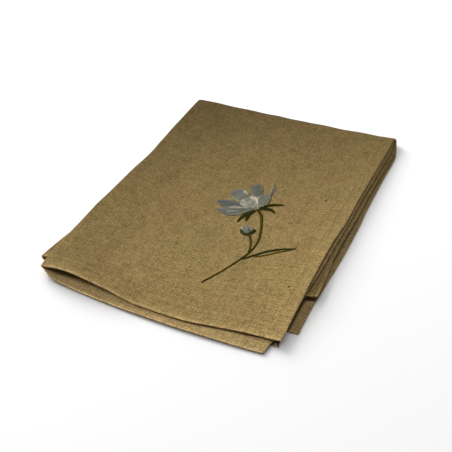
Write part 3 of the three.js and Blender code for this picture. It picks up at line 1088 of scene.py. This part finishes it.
def petalWidth(petal, s):    # half width at a share of the length
    half, widest = petal["width"] / 2, petal["widest"]
    rising = satin["rootShare"] + (1 - satin["rootShare"]) * np.sin(np.clip(s / widest, 0, 1) * math.pi / 2)
    falling = np.cos(np.clip((s - widest) / (1 - widest), 0, 1) * math.pi / 2) ** petal["round"]
    return half * np.where(s < widest, rising, falling)


def petalPlace(petal, s, lateral):    # lateral is in mm from the middle line
    root, tip = np.array(petal["root"]), np.array(petal["tip"])
    side = np.array([-(tip - root)[1], (tip - root)[0]]) / np.linalg.norm(tip - root)
    middle = (root + tip) / 2 + side * petal["bow"] * 2
    s = np.asarray(s)[:, None]
    point = root * (1 - s) ** 2 + middle * 2 * s * (1 - s) + tip * s**2
    slope = (middle - root) * 2 * (1 - s) + (tip - middle) * 2 * s
    normal = np.stack([-slope[:, 1], slope[:, 0]], axis=-1) / np.linalg.norm(slope, axis=-1, keepdims=True)
    return point + normal * np.asarray(lateral)[:, None]


def sewPetal(petal, threads):    # three rows of long and short stitches, fanning from the root
    half, widest = petal["width"] / 2, petal["widest"]
    first, last = petal["tones"]
    for start, end, share in satin["petalRows"]:
        count = max(int(petal["width"] * share / satin["petalPitch"]), 4)
        for k in range(count):
            t = (k + 0.5 + rng.uniform(-0.2, 0.2)) / count * 2 - 1
            limit = widest + (1 - widest) * math.acos(min(abs(t), 1) ** (1 / petal["round"])) * 2 / math.pi
            low = start + rng.uniform(0.0, satin["startUneven"]) if start else 0.02
            if end < 1:
                high = min(end + rng.uniform(*satin["endUneven"]), limit)
            else:
                high = limit - rng.uniform(0, satin["tipUneven"])
            if high - low < satin["shortest"]:
                continue
            s = np.linspace(low, high, satin["points"])
            fan = np.where(s < widest, petalWidth(petal, s), half)
            arch = np.sin(np.linspace(0, 1, len(s)) * math.pi) ** satin["fullness"]
            rise = petal["lift"] + satin["crown"] * (1 - t * t) + satin["sink"]
            lift = -satin["sink"] + rise * arch + rng.uniform(-0.04, 0.04)
            tone = first + (last - first) * s + rng.normal(0, satin["petalUneven"])
            for side, paleFrom, paleTo, amount in petal["pale"]:
                along = smoothStep(s, paleFrom - satin["paleBlend"], paleFrom + satin["paleBlend"])
                along = along * (1 - smoothStep(s, paleTo, paleTo + satin["paleBlend"]))
                tone = tone + amount * along * smoothStep(np.full(len(s), t * side), 0.35, 1.0)
            threads.lay(petalPlace(petal, s, fan * t), lift, rng.uniform(0.85, 1.1), tone)


def sewPetalEdge(petal, threads):    # pale stem stitches along the palest edges
    for side, low, high, amount in petal["pale"]:
        if amount < satin["palestFrom"]:
            continue
        s = np.linspace(max(low, 0.12), min(high, 0.96), 60)
        edge = petalPlace(petal, s, petalWidth(petal, s) * side)
        length = runAlong(edge)
        at = 0.0
        while at < length[-1] - 1.5:
            run = np.linspace(at, min(at + rng.uniform(*satin["edgeStitch"]), length[-1]), 5)
            lift = petal["lift"] - satin["edgeDrop"] + np.array(satin["edgeArch"])
            tone = 0.38 + 0.7 * amount + rng.normal(0, satin["edgeUneven"])
            threads.lay(placeAlong(edge, length, run), lift, 0.85, tone)
            at += rng.uniform(*satin["edgeStep"])


def runAlong(points):    # the distance run at each point of a line
    return np.concatenate([[0], np.cumsum(np.linalg.norm(np.diff(points, axis=0), axis=1))])


def placeAlong(points, length, run):
    return np.stack([np.interp(run, length, points[:, axis]) for axis in (0, 1)], axis=-1)


def smoothPath(points, count):    # a smooth line through points, evenly spaced
    points = np.array(points, float)
    chord = runAlong(points)
    fine = np.linspace(0, chord[-1], 240)
    slopes = np.gradient(points, chord, axis=0)
    i = np.clip(np.searchsorted(chord, fine) - 1, 0, len(points) - 2)
    step = (chord[i + 1] - chord[i])[:, None]
    s = ((fine - chord[i]) / (chord[i + 1] - chord[i]))[:, None]
    curve = cubic(points[i], points[i + 1], slopes[i] * step, slopes[i + 1] * step, s)
    length = runAlong(curve)
    return placeAlong(curve, length, np.linspace(0, length[-1], count)), length[-1]


def sewColumn(column, threads):    # stitches that run slantwise across a narrow shape
    _, length = smoothPath(column["path"], 10)
    count = max(int(length / satin["pitch"]), 3)
    path, _ = smoothPath(column["path"], count)
    slope = np.gradient(path, axis=0)
    slope /= np.linalg.norm(slope, axis=1, keepdims=True)
    side = np.stack([-slope[:, 1], slope[:, 0]], axis=-1)
    share = np.linspace(0, 1, count)
    width = curveThrough((0, 0.5, 1), column["widths"], share)
    tone = curveThrough((0, 0.5, 1), column["tones"], share)
    t = np.linspace(-1, 1, 5)[:, None]
    arch = np.array([-satin["sink"], *satin["columnArch"], -satin["sink"]])
    for k in range(count):
        half = width[k] / 2 * rng.uniform(0.93, 1.05)
        xy = path[k] + side[k] * half * t + slope[k] * column["slant"] / 2 * t
        lift = np.where(arch > 0, arch * column["lift"], arch) + rng.uniform(-0.03, 0.03)
        across = tone[k] + rng.normal(0, satin["columnUneven"]) + 0.1 * t[:, 0]
        threads.lay(xy, lift, rng.uniform(0.9, 1.12), across)


def layThreads(guides, radius, material):
    return runTree(guides, threadTree, {
        "Thread Radius": radius * mm, "Thread Sides": satin["sides"], "Thread": material})


def embroider():
    petalThreads, leafThreads = Threads(), Threads()
    for petal in petals.values():
        sewPetal(petal, petalThreads)
        sewPetalEdge(petal, petalThreads)
    for column in columns.values():
        sewColumn(column, leafThreads)
    pieces = []
    for name, threads, material in (
        ("petalThreads", petalThreads, petalThread),
        ("leafThreads", leafThreads, leafThread),
    ):
        pieces.append(layThreads(threads.guides(name), satin["radius"], material))
        print(name, len(threads.places), "threads,", len(pieces[-1].data.polygons), "faces")
    return pieces


threadTree = makeThreadTree()
petalPiece, leafPiece = embroider()
endsPiece = layThreads(layLooseEnds(), looseEnds["radius"], shadedLooseYarn)
print("loose ends laid:", len(endsPiece.data.polygons), "faces")


# floor, light and surroundings
studio = {
    "floorHalf": 3.0,
    "floorColor": (0.86, 0.86, 0.86, 1),
    "floorGrain": 900.0,
    "floorRoughness": (0.85, 0.95),
    "worldColor": (1.0, 1.0, 1.0, 1),
    "worldStrength": 0.12,
    "lamps": namedRows(("place", "aim", "size", "spread", "power", "lights"), {
        "floorSky": ((-0.3, 0.4, 0.9), (0, 0, 0), 3.0, 180, 29.0, "floor"),
        "floorLeft": ((-1.7, 0.9, 1.2), (0, 0, 0), 1.3, 180, 50.0, "floor"),
        "overhead": ((0.2, 0.32, 1.05), (0.15, -0.15, 0), 0.5, 23, 0.41, "cloth"),
        "left": ((-0.95, -0.38, 0.9), (0.21, -0.12, 0), 0.5, 22, 1.26, "cloth"),
    }),
}


def makeStudio(setup):
    half = setup["floorHalf"]
    corners = [(-half, -half, 0), (half, -half, 0), (half, half, 0), (-half, half, 0)]
    mesh = bpy.data.meshes.new("floor")
    mesh.from_pydata(corners, [], [(0, 1, 2, 3)])
    floor = addObject("floor", mesh)
    material, tree, shader = newMaterial("floorPaper")
    grain = addNode(tree, "ShaderNodeTexNoise", {"Scale": setup["floorGrain"], "Detail": 2.0})
    rough = ranged(tree, grain.outputs["Fac"], 0.0, 1.0, *setup["floorRoughness"])
    setInputs(tree, shader, {"Base Color": setup["floorColor"], "Roughness": rough})
    mesh.materials.append(material)

    world = bpy.data.worlds.new("studio")
    world.use_nodes = True
    background = world.node_tree.nodes["Background"]
    background.inputs["Color"].default_value = setup["worldColor"]
    background.inputs["Strength"].default_value = setup["worldStrength"]
    bpy.context.scene.world = world
    lit = {name: bpy.data.collections.new(name + "Lit") for name in ("floor", "cloth")}
    lit["floor"].objects.link(floor)
    for piece in (sheet, hemStitches, petalPiece, leafPiece, endsPiece):
        lit["cloth"].objects.link(piece)
    for name, lamp in setup["lamps"].items():
        data = bpy.data.lights.new(name, "AREA")
        data.size = lamp["size"]
        data.spread = math.radians(lamp["spread"])
        data.energy = lamp["power"]
        light = addObject(name, data)
        light.location = lamp["place"]
        light.rotation_euler = turnTo(lamp["place"], lamp["aim"]).to_euler()
        light.light_linking.receiver_collection = lit[lamp["lights"]]


makeStudio(studio)
bpy.context.scene.view_settings.view_transform = "Standard"
print("studio made")

for piece, slot in (
    (sheet, "linen"), (hemStitches, "sewing_thread"), (petalPiece, "petal_thread"),
    (leafPiece, "leaf_thread"), (endsPiece, "linen"),
):
    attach(piece, "root")
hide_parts("cloth")
